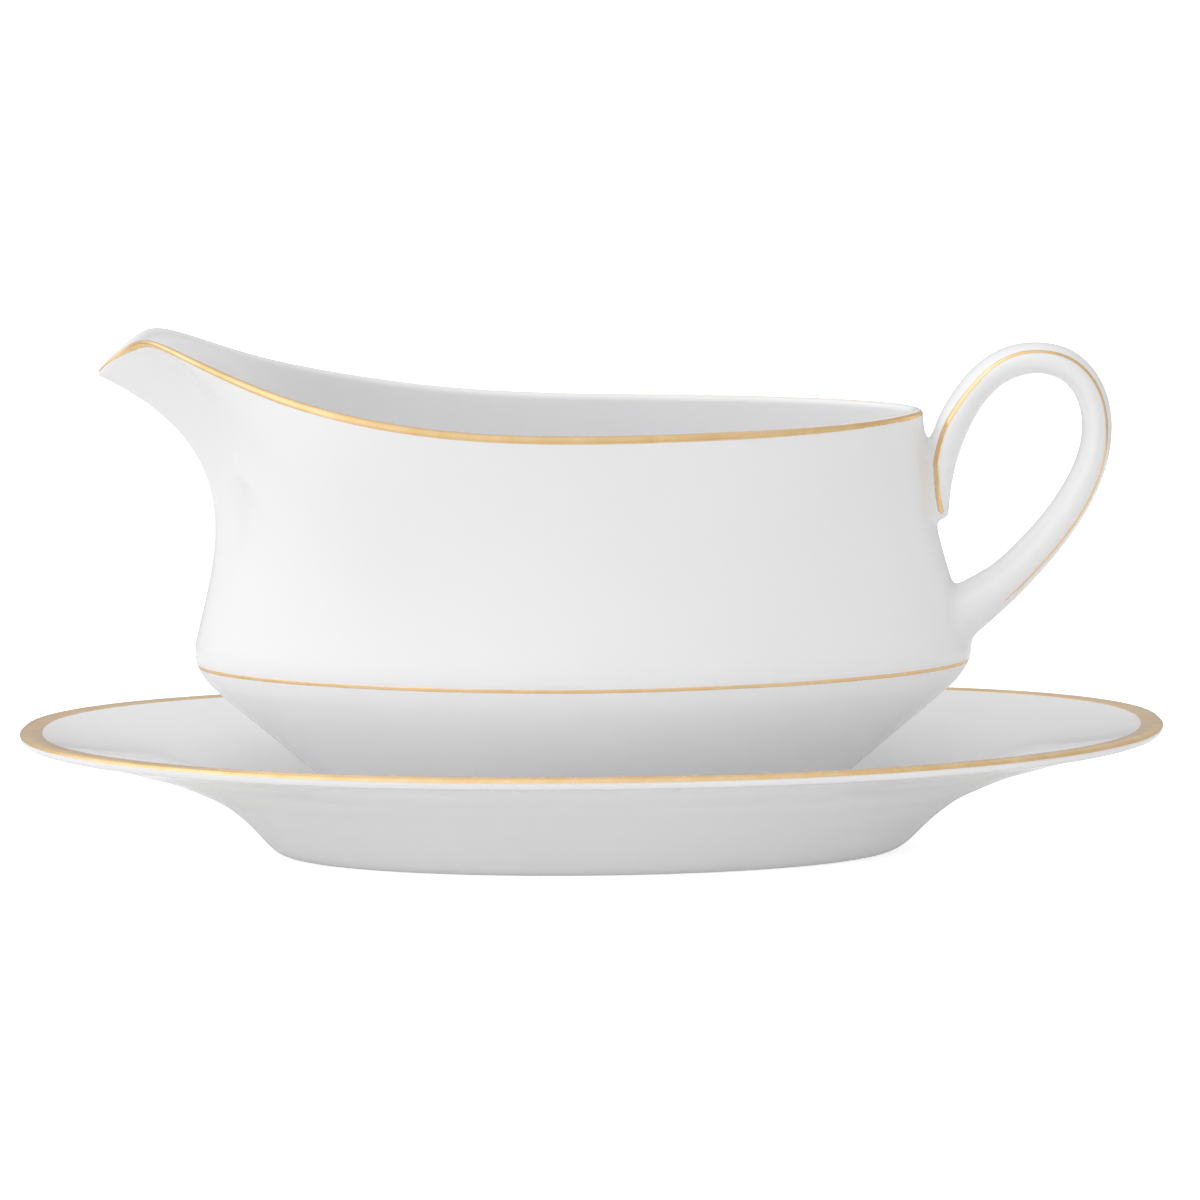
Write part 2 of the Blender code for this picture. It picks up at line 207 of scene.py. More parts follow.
def oval_half(shape, aspect, shares):
    """Half of a unit superellipse with softened ends, for a given length to width aspect."""
    angles = np.linspace(math.pi, 0, DENSE)
    cosine, sine = np.cos(angles), np.abs(np.sin(angles))
    x = np.sign(cosine) * np.abs(cosine) ** (2 / shape)
    y = sine ** (2 / shape)
    path = np.stack([x * aspect, y, np.zeros(DENSE)], 1)
    path[[0, -1], 1] = 0.0
    half = half_of_ring(resample(path, np.linspace(0, 1, OVAL_KNOTS)), shares)
    return half[:, :2] / [aspect, half[:, 1].max()]


def mirrored(half):
    """Whole rings from halves that run along +Y from the -X end to the +X end."""
    other = half[..., -2:0:-1, :] * [1, -1, 1]
    return np.concatenate([half, other], axis=-2)


def ease(t):
    """Share from 0 to 1 that starts and stops gently."""
    t = np.clip(t, 0, 1)
    return t**3 * (10 - 15 * t + 6 * t**2)


def normals_of(grid):
    """Unit outward normals of a closed grid of rings."""
    around = np.roll(grid, -1, axis=1) - np.roll(grid, 1, axis=1)
    along = np.gradient(grid, axis=0)
    normals = np.cross(around, along)
    return -normals / np.maximum(np.linalg.norm(normals, axis=2, keepdims=True), 1e-12)


# ---------------------------------------------------------------- stand

def stand_shares():
    """Even shares round half a ring of the stand."""
    return np.linspace(0, 1, STAND_COLUMNS // 2 + 1)


def stand_rings(profile):
    """Rings of the stand for levels given by half length and height."""
    rim = oval_half(STAND_RIM_SHAPE, STAND_HALF_LENGTH / STAND_HALF_WIDTH, stand_shares())
    foot = oval_half(STAND_FOOT_SHAPE, STAND_FOOT_HALF_LENGTH / STAND_FOOT_HALF_WIDTH,
                     stand_shares())
    narrowing = (STAND_HALF_WIDTH - STAND_GOLD_WIDTH - STAND_FOOT_HALF_WIDTH) / (
        STAND_HALF_LENGTH - STAND_GOLD_WIDTH - STAND_FOOT_HALF_LENGTH)
    rings = []
    for half_length, height in profile:
        inset = STAND_HALF_LENGTH - half_length
        edge = min(inset, STAND_GOLD_WIDTH)
        half_width = STAND_HALF_WIDTH - edge - (inset - edge) * narrowing
        half_width = max(half_width, half_length * STAND_FOOT_HALF_WIDTH / STAND_FOOT_HALF_LENGTH)
        spread = np.clip((half_length - STAND_FOOT_HALF_LENGTH)
                         / (STAND_HALF_LENGTH - STAND_FOOT_HALF_LENGTH), 0, 1)
        plan = foot + (rim - foot) * spread
        x = STAND_FOOT_OFFSET * (1 - spread) ** STAND_OFFSET_FADE + half_length * plan[:, 0]
        y = half_width * plan[:, 1]
        lift = STAND_END_LIFT * spread ** STAND_LIFT_FADE * (x / STAND_HALF_LENGTH) ** 2
        rings.append(np.stack([x, y, height + lift], 1))
    return mirrored(np.array(rings))


def stand_profile():
    """Half length and height down the stand's section, its foot ground flat on the table."""
    profile = spline([(a, z, 0.0) for a, z in STAND_PROFILE], STAND_ROWS)[:, :2]
    profile[:, 1] = np.maximum(profile[:, 1], 0.0)
    return profile


# ---------------------------------------------------------------- boat

def boat_shares():
    """Shares round half a ring, crowded at the beak and at the handle."""
    place = np.linspace(0, 1, BOAT_COLUMNS // 2 + 1)
    crowded = (1 - np.cos(math.pi * place)) / 2
    return CROWDED_SHARE * crowded + (1 - CROWDED_SHARE) * place**EVEN_POWER


def mix(values):
    """A value for each column from its values at the spout, the flanks and the handle."""
    place = boat_shares()
    spout = ease(1 - place / SPOUT_REACH)
    handle = ease((place - HANDLE_END_START) / (1 - HANDLE_END_START))
    weights = np.stack([spout, 1 - spout - handle, handle], 1)
    return (weights @ np.array(values, float))[:, None]


def inward(half):
    """Level unit vectors that point from each point of a half ring to the inside."""
    along = np.gradient(half[:, :2], axis=0)
    along[0], along[-1] = (0.0, 1.0), (0.0, -1.0)
    along /= np.linalg.norm(along, axis=1)[:, None]
    return np.stack([along[:, 1], -along[:, 0], np.zeros(len(along))], 1)


def boat_levels(profile, samples):
    """Half rings of the boat below its shoulder, for levels by half length and height."""
    plan = oval_half(SHOULDER_SHAPE, SHOULDER_HALF_LENGTH / SHOULDER_HALF_WIDTH, boat_shares())
    narrowing = (SHOULDER_HALF_WIDTH - BOAT_WALL - BOAT_FOOT_HALF_WIDTH) / (
        SHOULDER_HALF_LENGTH - BOAT_WALL - BOAT_FOOT_HALF_LENGTH)
    rings = []
    for half_length, height, _ in spline([(a, z, 0.0) for a, z in profile], samples):
        inset = SHOULDER_HALF_LENGTH - half_length
        edge = min(inset, BOAT_WALL)
        half_width = SHOULDER_HALF_WIDTH - edge - (inset - edge) * narrowing
        half_width = max(half_width, half_length * BOAT_FOOT_HALF_WIDTH / BOAT_FOOT_HALF_LENGTH)
        rings.append(np.stack([BOAT_OFFSET + half_length * plan[:, 0], half_width * plan[:, 1],
                               np.full(len(plan), height)], 1))
    return np.array(rings)


def wall(shoulder, rim, rows):
    """Half rings of the boat's wall, from its shoulder to its rim."""
    low = shoulder + UP * mix(SHOULDER_RISE) + inward(shoulder) * mix(SHOULDER_LEAN)
    high = rim - UP * mix(RIM_DROP) + inward(rim) * mix(RIM_LEAN)
    high = high + np.array([1.0, 0.0, 0.0]) * mix((SPOUT_UNDERCUT, 0.0, 0.0))
    t = np.linspace(0, 1, rows)[:, None, None]
    s = 1 - t
    return s**3 * shoulder + 3 * s**2 * t * low + 3 * s * t**2 * high + t**3 * rim


def soften(rings, middle, reach, rounds):
    """Eases the rings into each other near one level, where two stretches of wall meet."""
    start, stop = middle - reach[0], middle + reach[1]
    for _ in range(rounds):
        rings[start:stop] = (rings[start - 1:stop - 1] + 2 * rings[start:stop]
                             + rings[start + 1:stop + 1]) / 4
    return rings


def boat_column_grid():
    """Half rings over the whole boat: its outside, over the lip, and down its inside."""
    rim_outer = half_of_ring(RIM_OUTER, boat_shares())
    rim_inner = half_of_ring(RIM_INNER, boat_shares())
    lower = boat_levels(BOAT_OUTSIDE, LOWER_ROWS)
    outer = wall(lower[-1], rim_outer - UP * LIP_HEIGHT, WALL_ROWS)
    outside = soften(np.concatenate([lower, outer[1:]]), LOWER_ROWS, SOFT_OUTSIDE,
                     SHOULDER_ROUNDS)
    floor = boat_levels(BOAT_INSIDE, LOWER_ROWS)
    inner = wall(floor[0], rim_inner - UP * LIP_HEIGHT, WALL_ROWS)
    inside = soften(np.concatenate([inner[::-1], floor[1:]]), WALL_ROWS, SOFT_INSIDE,
                    SHOULDER_ROUNDS * 2)
    middle = (outside[-1] + inside[0]) / 2
    rise = (outside[-1] - outside[-3]) + (inside[0] - inside[2])
    rise = rise / np.linalg.norm(rise, axis=1)[:, None] + UP
    rise /= rise[:, 2:]
    angles = np.linspace(0, math.pi, LIP_ROWS)[1:-1]
    lip = np.array([middle + (outside[-1] - middle) * math.cos(angle)
                    + rise * LIP_HEIGHT * math.sin(angle) for angle in angles])
    return np.concatenate([outside, lip, inside])


# ---------------------------------------------------------------- meshes

def new_piece(name, vertices, faces, material, body, slot, *nodes):
    """Smooth-shaded piece that rides on a body and stands for the named nodes."""
    data = bpy.data.meshes.new(name)
    data.from_pydata(np.asarray(vertices * MM).tolist(), [], faces)
    data.update()
    data.shade_smooth()
    data.materials.append(material)
    item = bpy.data.objects.new(name, data)
    bpy.context.scene.collection.objects.link(item)
    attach(item, body)
    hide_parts(*nodes)


def ring_faces(rows, count, closed):
    """Quads between neighbouring rings, with their ends capped or joined."""
    faces = []
    for row in range(rows if closed else rows - 1):
        low, high = row * count, (row + 1) % rows * count
        for i in range(count):
            j = (i + 1) % count
            faces.append((low + i, low + j, high + j, high + i))
    if not closed:
        faces.append(tuple(range(count))[::-1])
        faces.append(tuple(range((rows - 1) * count, rows * count)))
    return faces


def ribbon(surface, lift_profile, sink):
    """Closed band: its top is raised off the surface by the profile, its back sunk in it."""
    normals = normals_of(surface)
    top = surface + normals * lift_profile[:, None, None]
    back = surface[::-1] - normals[::-1] * sink
    return np.concatenate([top, back])


def along_columns(grid, start, stop, rows):
    """Part of each column of a grid, between two lengths measured along it."""
    steps = np.linalg.norm(np.diff(grid, axis=0), axis=2)
    travelled = np.concatenate([np.zeros((1, grid.shape[1])), np.cumsum(steps, axis=0)])
    result = np.empty((rows, grid.shape[1], 3))
    for column in range(grid.shape[1]):
        wanted = np.linspace(start[column], stop[column], rows)
        for axis in range(3):
            result[:, column, axis] = np.interp(wanted, travelled[:, column],
                                                grid[:, column, axis])
    return result


def hand_wobble(count, size, seed):
    """Small wander of a hand-painted edge round a ring, the same each run."""
    turn = np.linspace(0, 2 * math.pi, count, endpoint=False)
    rng = np.random.default_rng(seed)
    waves = [np.sin(turn * beat + rng.uniform(0, 2 * math.pi)) / beat**0.5
             for beat in (3, 5, 8, 13, 21, 34)]
    return size * np.sum(waves, axis=0) / 2


def column_length(grid, row):
    """Length along each column of a grid from its first row to the given one."""
    return np.linalg.norm(np.diff(grid[:row + 1], axis=0), axis=2).sum(axis=0)


# Gold: points across a line, its thickness and that of its edges, and how deep it sinks in.
GOLD_ROWS = 9
GOLD_FILM = 0.045
GOLD_EDGE = 0.004
GOLD_SINK = 0.03


def gold_film(rows):
    """Raised thickness across a gold line, easing off to its edges."""
    across = np.linspace(-1, 1, rows)
    return GOLD_FILM * (1 - across**4) + GOLD_EDGE


def make_gold_ring(name, grid, start, stop, gold, body, rows=GOLD_ROWS):
    """Band of gold round a grid, between two lengths down each of its columns."""
    band = ribbon(along_columns(grid, start, stop, rows), gold_film(rows), GOLD_SINK)
    rows, count = band.shape[:2]
    new_piece(name, band.reshape(-1, 3), ring_faces(rows, count, True), gold, body, "gold",
              name)


# How far the stand's gold runs below and above the edge of its rim.
STAND_GOLD_REACH = (0.15, 4.9)
STAND_GOLD_ROWS = 21
GOLD_WOBBLE = 0.06


def make_stand(porcelain, gold):
    """The stand's glazed dish and its gold band."""
    profile = stand_profile()
    grid = stand_rings(profile)
    rows, count = grid.shape[:2]
    new_piece("saucer_glazed", grid.reshape(-1, 3), ring_faces(rows, count, False), porcelain,
              "saucer", "porcelain", "saucer")
    edge = int(np.argmax(profile[:, 0]))
    at_edge = column_length(grid, edge)
    start = at_edge - STAND_GOLD_REACH[0] + hand_wobble(count, GOLD_WOBBLE, 1)
    stop = at_edge + STAND_GOLD_REACH[1] + hand_wobble(count, GOLD_WOBBLE, 2)
    make_gold_ring("saucer_gold_band", grid, start, stop, gold, "saucer", STAND_GOLD_ROWS)


# By place from the tip round to the handle: how far the rim's gold runs down the outside of
# the wall, and the share of the lip's roundness that it covers on the far and the near side.
RIM_GOLD_REACH = [(0.0, -0.7), (0.03, -0.3), (0.06, 0.6), (0.1, 0.9), (0.15, 0.5), (0.2, 0.35),
                  (0.75, 0.35), (0.9, 0.0), (1.0, -0.05)]
RIM_GOLD_OVER_FAR = [(0.0, 0.2), (0.1, 0.42), (0.4, 0.48), (0.7, 0.55), (0.92, 0.55),
                     (1.0, 0.28)]
RIM_GOLD_OVER_NEAR = [(0.0, 0.2), (0.06, 0.35), (0.12, 0.48), (0.7, 0.48), (0.85, 0.38),
                      (1.0, 0.28)]
RIM_GOLD_ROWS = 25

# The shoulder line's heights at the pouring end, looked for in the rows up to just above it.
SHOULDER_GOLD_HEIGHTS = (38.6, 39.75)
SHOULDER_GOLD_WOBBLE = 0.04
ROWS_ABOVE_SHOULDER = 20


def round_ring(far, near):
    """Values round the whole ring, from their values by place on its far and near side."""
    place = boat_shares()
    far_side, near_side = np.interp(place, *zip(*far)), np.interp(place, *zip(*near))
    return np.concatenate([far_side, near_side[-2:0:-1]])


def make_boat(porcelain, gold):
    """The boat's glazed shell with its rim and shoulder lines; gives back half its rings."""
    half = boat_column_grid()
    grid = mirrored(half)
    rows, count = grid.shape[:2]
    new_piece("boat_glazed", grid.reshape(-1, 3), ring_faces(rows, count, False), porcelain,
              "boat", "porcelain", "boat_body")
    lip_start = LOWER_ROWS + WALL_ROWS - 2
    at_lip = column_length(grid, lip_start)
    over_lip = column_length(grid, lip_start + LIP_ROWS - 1) - at_lip
    reach = round_ring(RIM_GOLD_REACH, RIM_GOLD_REACH)
    start = at_lip - reach + hand_wobble(count, GOLD_WOBBLE, 3)
    over = over_lip * round_ring(RIM_GOLD_OVER_FAR, RIM_GOLD_OVER_NEAR)
    stop = at_lip + over + hand_wobble(count, GOLD_WOBBLE, 4)
    make_gold_ring("boat_rim_gold_line", grid, start, stop, gold, "boat", RIM_GOLD_ROWS)
    heights = grid[:LOWER_ROWS + ROWS_ABOVE_SHOULDER, 0, 2]
    start, stop = [column_length(grid, int(np.argmin(np.abs(heights - height))))
                   for height in SHOULDER_GOLD_HEIGHTS]
    make_gold_ring("boat_shoulder_gold_line", grid,
                   start + hand_wobble(count, SHOULDER_GOLD_WOBBLE, 5),
                   stop + hand_wobble(count, SHOULDER_GOLD_WOBBLE, 6), gold, "boat")
    return half


# ---------------------------------------------------------------- handle

HANDLE_DENSE = 1200

# Heights and widths of the height field, and the wall's rows and columns that it is read from.
FIELD_HEIGHTS = np.linspace(30.0, 89.2, 237)
FIELD_WIDTHS = np.linspace(-20.0, 20.0, 161)
FIELD_ROWS_BELOW = 50
FIELD_COLUMNS = 90

# Points handled at a time, and every how many places along the strap they are tried.
CHUNK = 20000
STRAP_STRIDE = 4

# The net's wall lies this far inside the true one, and sinks with the distance past the fillet.
WALL_SINK = 0.004
WALL_SINK_SLOPE = 0.15

# The furthest that a point moves in one round of settling.
LONGEST_STEP = 0.5


class WallField:
    """The boat's outside near the handle, as a height field x over y and z."""

    def __init__(self, half):
        outside = half[LOWER_ROWS - FIELD_ROWS_BELOW:LOWER_ROWS + WALL_ROWS - 1,
                       -FIELD_COLUMNS:]
        across = []
        for column in range(outside.shape[1]):
            path = outside[:, column]
            across.append([np.interp(FIELD_HEIGHTS, path[:, 2], path[:, axis])
                           for axis in (0, 1)])
        across = np.array(across)
        rows = [np.interp(np.abs(FIELD_WIDTHS), across[::-1, 1, level], across[::-1, 0, level])
                for level in range(len(FIELD_HEIGHTS))]
        self.x = np.array(rows)
        self.slope_z, self.slope_y = np.gradient(self.x, FIELD_HEIGHTS, FIELD_WIDTHS)

    def look_up(self, table, points):
        """Values of a table of the field's at the points' heights and widths."""
        z = (points[:, 2] - FIELD_HEIGHTS[0]) / (FIELD_HEIGHTS[1] - FIELD_HEIGHTS[0])
        y = (points[:, 1] - FIELD_WIDTHS[0]) / (FIELD_WIDTHS[1] - FIELD_WIDTHS[0])
        z = np.clip(z, 0, len(FIELD_HEIGHTS) - 1.001)
        y = np.clip(y, 0, len(FIELD_WIDTHS) - 1.001)
        i, j = z.astype(int), y.astype(int)
        b, a = z - i, y - j
        return ((1 - a) * (1 - b) * table[i, j] + a * (1 - b) * table[i, j + 1]
                + (1 - a) * b * table[i + 1, j] + a * b * table[i + 1, j + 1])

    def distance(self, points):
        """Distance outside the wall, and the direction that leads away from it."""
        slope_y = self.look_up(self.slope_y, points)
        slope_z = self.look_up(self.slope_z, points)
        length = np.sqrt(1 + slope_y**2 + slope_z**2)
        away = np.stack([1 / length, -slope_y / length, -slope_z / length], 1)
        return (points[:, 0] - self.look_up(self.x, points)) / length, away


class Strap:
    """The handle's bent strap: an elliptical section carried along a curve in the XZ plane."""

    def __init__(self):
        path = spline(HANDLE_POINTS, HANDLE_DENSE)
        path = resample(path, np.linspace(0, 1, HANDLE_DENSE))
        slope = np.gradient(path[:, :2], axis=0)
        slope /= np.linalg.norm(slope, axis=1)[:, None]
        self.centre = path[:, :2]
        self.along = slope
        self.outward = np.stack([-slope[:, 1], slope[:, 0]], 1)
        self.half_thickness, self.half_width = path[:, 2] / 2, path[:, 3] / 2

    def nearest(self, points):
        """Index of the nearest place along the strap for each point."""
        found = np.empty(len(points), int)
        for start in range(0, len(points), CHUNK):
            flat = points[start:start + CHUNK][:, [0, 2]]
            away = ((flat[:, None] - self.centre[None, ::STRAP_STRIDE]) ** 2).sum(2)
            found[start:start + CHUNK] = away.argmin(1) * STRAP_STRIDE
        return found

    def distance(self, points):
        """Distance outside the strap, and the direction that leads away from it."""
        i = self.nearest(points)
        offset = points[:, [0, 2]] - self.centre[i]
        u = (offset * self.outward[i]).sum(1)
        w = (offset * self.along[i]).sum(1)
        beyond = np.where(i == 0, np.minimum(w, 0), 0)
        v = points[:, 1]
        a, b = self.half_thickness[i], self.half_width[i]
        pull = np.stack([u / a**2, v / b**2, beyond / TAIL_ROUNDING**2], 1)
        reach = np.sqrt((u / a) ** 2 + (v / b) ** 2 + (beyond / TAIL_ROUNDING) ** 2)
        steep = np.maximum(np.linalg.norm(pull, axis=1), 1e-6)
        flat = pull[:, :1] * self.outward[i] + pull[:, 2:] * self.along[i]
        away = np.stack([flat[:, 0], pull[:, 1], flat[:, 1]], 1) / steep[:, None]
        return (reach - 1) * reach / steep, away


def joined_distance(points, field, strap):
    """Distance outside the strap and wall melted together, and the direction away.

    The distances to the wall and to the strap and the fillet's reach follow.
    """
    to_wall, from_wall = field.distance(points)
    to_strap, from_strap = strap.distance(points)
    share = ease((points[:, 2] - FILLET_CHANGE[0]) / (FILLET_CHANGE[1] - FILLET_CHANGE[0]))
    reach = FILLET_LOWER + (FILLET_UPPER - FILLET_LOWER) * share
    reach = reach * np.maximum(ease((RIM_CLEAR - points[:, 2]) / RIM_FADE), RIM_LEFT)
    hidden = to_wall + WALL_SINK + WALL_SINK_SLOPE * np.maximum(to_strap - reach, 0)
    gap = hidden - to_strap
    h = np.maximum(reach - np.abs(gap), 0) / reach
    value = np.minimum(hidden, to_strap) - h**3 * reach / 6
    lean = np.where(gap > 0, h**2 / 2, 1 - h**2 / 2)[:, None]
    away = lean * from_wall + (1 - lean) * from_strap
    away /= np.maximum(np.linalg.norm(away, axis=1, keepdims=True), 1e-9)
    return value, away, to_wall, to_strap, reach


def settle(points, field, strap, rounds=8):
    """Moves points on to the melted surface."""
    for _ in range(rounds):
        value, away, *_ = joined_distance(points, field, strap)
        points = points - away * np.clip(value, -LONGEST_STEP, LONGEST_STEP)[:, None]
    return points


def net(value, low, step):
    """Quad mesh around the cells of a grid where the value falls below zero."""
    value = np.pad(value[1:-1, 1:-1, 1:-1], 1, constant_values=step)
    shape = np.array(value.shape)
    total, hits = np.zeros((*(shape - 1), 3)), np.zeros(shape - 1)
    quads = []
    for axis in range(3):
        others = [(axis + 1) % 3, (axis + 2) % 3]
        first = np.take(value, range(shape[axis] - 1), axis)
        second = np.take(value, range(1, shape[axis]), axis)
        crosses = (first < 0) != (second < 0)
        place = np.stack(np.meshgrid(*[np.arange(n) for n in first.shape], indexing="ij"),
                         -1).astype(float)
        ratio = first / np.where(crosses, first - second, 1)
        place[..., axis] += ratio
        for da in (0, 1):
            for db in (0, 1):
                cut = [slice(None)] * 3
                cut[others[0]] = slice(da, da + shape[others[0]] - 1)
                cut[others[1]] = slice(db, db + shape[others[1]] - 1)
                here = crosses[tuple(cut)]
                hits += here
                total += place[tuple(cut)] * here[..., None]
        edges = np.argwhere(crosses)
        rising = first[tuple(edges.T)] < 0
        step_b, step_c = np.eye(3, dtype=int)[others[0]], np.eye(3, dtype=int)[others[1]]
        corners = [edges - step_b - step_c, edges - step_c, edges, edges - step_b]
        corners = np.stack(corners, 1)
        corners[~rising] = corners[~rising][:, ::-1]
        quads.append(corners)
    index = -np.ones(hits.shape, int)
    active = hits > 0
    index[active] = np.arange(active.sum())
    quads = np.concatenate(quads)
    faces = index[tuple(np.moveaxis(quads, 2, 0))]
    vertices = total[active] / hits[active][:, None] * step + low
    return vertices, faces


# Room round the handle's box for the net: towards the wall, and past its outer side and top.
ROOM_AT_WALL = 4.0
ROOM_OUTSIDE = 2.0

# Points this near the skirt's cut faces stay where they are when the net is evened out.
EDGE_MARGIN = 0.1
EVEN_ROUNDS = 5


def make_handle(half, porcelain):
    """The handle melted into the wall; gives back the wall's field and the strap."""
    field, strap = WallField(half), Strap()
    low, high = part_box("boat_handle")
    room = FILLET_LOWER + SKIRT_MARGIN + 2 * NET_STEP
    low = np.array(low) / MM - [room + ROOM_AT_WALL, room, room]
    high = np.array(high) / MM + [ROOM_OUTSIDE, room, ROOM_OUTSIDE]
    counts = np.ceil((high - low) / NET_STEP).astype(int) + 1
    axes = [low[i] + NET_STEP * np.arange(counts[i]) for i in range(3)]
    cells = np.stack(np.meshgrid(*axes, indexing="ij"), -1).reshape(-1, 3)
    value, _, to_wall, to_strap, reach = joined_distance(cells, field, strap)
    solid = np.maximum.reduce([value, -(to_wall + SKIRT_DEPTH),
                               to_strap - reach - SKIRT_MARGIN])
    vertices, faces = net(solid.reshape(counts), low, NET_STEP)
    value, _, to_wall, to_strap, reach = joined_distance(vertices, field, strap)
    free = ((value > -to_wall - SKIRT_DEPTH + EDGE_MARGIN)
            & (value > to_strap - reach - SKIRT_MARGIN + EDGE_MARGIN))
    vertices = even_out(vertices, faces, free, field, strap)
    new_piece("handle_glazed", vertices, faces.tolist(), porcelain, "boat", "porcelain",
              "boat_handle")
    return field, strap


def even_out(vertices, faces, free, field, strap):
    """Evens the net's spacing, and settles it on the melted surface each time."""
    starts, ends = faces.ravel(), np.roll(faces, -1, axis=1).ravel()
    degree = np.bincount(starts, minlength=len(vertices)).astype(float)
    for _ in range(EVEN_ROUNDS):
        total = np.zeros_like(vertices)
        for axis in range(3):
            total[:, axis] = np.bincount(starts, vertices[ends, axis], len(vertices))
        average = total / degree[:, None]
        vertices = np.where(free[:, None], (vertices + average) / 2, vertices)
        vertices[free] = settle(vertices[free], field, strap, rounds=3)
    return vertices


# The painted line's angle from the strap's crown and its width, by share of the strap, then the
# shares it runs between and the share over which each end rounds off.
HANDLE_LINE_ANGLES = [(0.0, 90.0), (0.03, 74.0), (0.06, 63.0), (0.093, 52.0), (0.13, 59.0),
                      (0.18, 63.0), (0.25, 68.0), (0.29, 61.0), (0.34, 54.0), (0.45, 51.0),
                      (0.54, 51.0), (0.62, 45.0), (0.7, 45.0), (0.8, 50.0), (0.9, 52.0)]
HANDLE_LINE_WIDTHS = [(0.0, 1.5), (0.06, 1.5), (0.12, 1.5), (0.25, 1.2), (0.3, 1.0), (0.6, 0.9),
                      (0.75, 0.8), (0.84, 0.55), (0.9, 0.3)]
HANDLE_LINE_SPAN = (0.002, 0.89)
HANDLE_LINE_ROWS = 360
HANDLE_LINE_END = 0.006
THINNEST_END = 0.02


def make_handle_line(name, side, field, strap, gold):
    """Gold line along one edge of the strap's outer face, rounded off at both ends."""
    shares = np.linspace(*HANDLE_LINE_SPAN, HANDLE_LINE_ROWS)
    at = (shares * (HANDLE_DENSE - 1)).astype(int)
    angle = np.radians(np.interp(shares, *zip(*HANDLE_LINE_ANGLES)))
    width = np.interp(shares, *zip(*HANDLE_LINE_WIDTHS))
    ends = np.minimum(shares - shares[0], shares[-1] - shares) / HANDLE_LINE_END
    width = width * np.sqrt(np.clip(1 - (1 - np.clip(ends, 0, 1)) ** 2, THINNEST_END, 1))
    radius = (strap.half_thickness[at] + strap.half_width[at]) / 2
    across = np.linspace(-1, 1, GOLD_ROWS)
    turn = angle[:, None] + across[None] * (width / 2 / radius)[:, None]
    u = strap.half_thickness[at][:, None] * np.cos(turn)
    v = strap.half_width[at][:, None] * np.sin(turn)
    flat = strap.centre[at][:, None] + strap.outward[at][:, None] * u[..., None]
    points = np.stack([flat[..., 0], v, flat[..., 1]], -1).reshape(-1, 3)
    surface = settle(points, field, strap)
    _, away, *_ = joined_distance(surface, field, strap)
    shape = (HANDLE_LINE_ROWS, GOLD_ROWS, 3)
    surface, away = surface.reshape(shape), away.reshape(shape)
    top = surface + away * gold_film(GOLD_ROWS)[None, :, None]
    back = surface[:, ::-1] - away[:, ::-1] * GOLD_SINK
    rings = np.concatenate([top, back], axis=1) * [1, side, 1]
    rows, count = rings.shape[:2]
    faces = ring_faces(rows, count, False)
    if side > 0:
        faces = [face[::-1] for face in faces]
    new_piece(name, rings.reshape(-1, 3), faces, gold, "boat", "gold", name)


# ---------------------------------------------------------------- materials

# Colours by noise value: the glaze's faint cloud and the gold's streaks.
GLAZE_TONES = [(0.35, (0.904, 0.905, 0.912)), (0.65, (0.918, 0.918, 0.923))]
GOLD_TONES = [(0.3, (0.87, 0.59, 0.28)), (0.55, (0.92, 0.655, 0.35)), (0.75, (0.95, 0.71, 0.42))]
FLOOR_TONES = [(0.3, (0.93, 0.93, 0.93)), (0.7, (0.95, 0.95, 0.95))]
TABLE_TONES = [(0.3, (0.80, 0.80, 0.79)), (0.7, (0.82, 0.82, 0.81))]


def start_material(name):
    """New node material, with its node tree and its shader."""
    material = bpy.data.materials.new(name)
    material.use_nodes = True
    tree = material.node_tree
    return material, tree, tree.nodes["Principled BSDF"]


def add_noise(tree, scale, detail):
    """Noise fixed to the object's own coordinates."""
    place = tree.nodes.new("ShaderNodeTexCoord")
    noise = tree.nodes.new("ShaderNodeTexNoise")
    noise.inputs["Scale"].default_value = scale
    noise.inputs["Detail"].default_value = detail
    tree.links.new(place.outputs["Object"], noise.inputs["Vector"])
    return noise.outputs["Fac"]


def add_ramp(tree, source, stops):
    """Colour ramp over a value, from (place, colour) stops."""
    ramp = tree.nodes.new("ShaderNodeValToRGB")
    elements = ramp.color_ramp.elements
    while len(elements) < len(stops):
        elements.new(0.5)
    for element, (place, colour) in zip(elements, stops):
        element.position = place
        element.color = (*colour, 1)
    tree.links.new(source, ramp.inputs["Fac"])
    return ramp.outputs["Color"]


def add_range(tree, source, low, high, to_low, to_high):
    """Value moved from one range to another."""
    node = tree.nodes.new("ShaderNodeMapRange")
    for socket, value in (("From Min", low), ("From Max", high), ("To Min", to_low),
                          ("To Max", to_high)):
        node.inputs[socket].default_value = value
    tree.links.new(source, node.inputs["Value"])
    return node.outputs["Result"]


def add_bump(tree, source, distance, before=None):
    """Normal bumped by a value, on top of another bump where one is given."""
    bump = tree.nodes.new("ShaderNodeBump")
    bump.inputs["Distance"].default_value = distance
    tree.links.new(source, bump.inputs["Height"])
    if before:
        tree.links.new(before, bump.inputs["Normal"])
    return bump.outputs["Normal"]


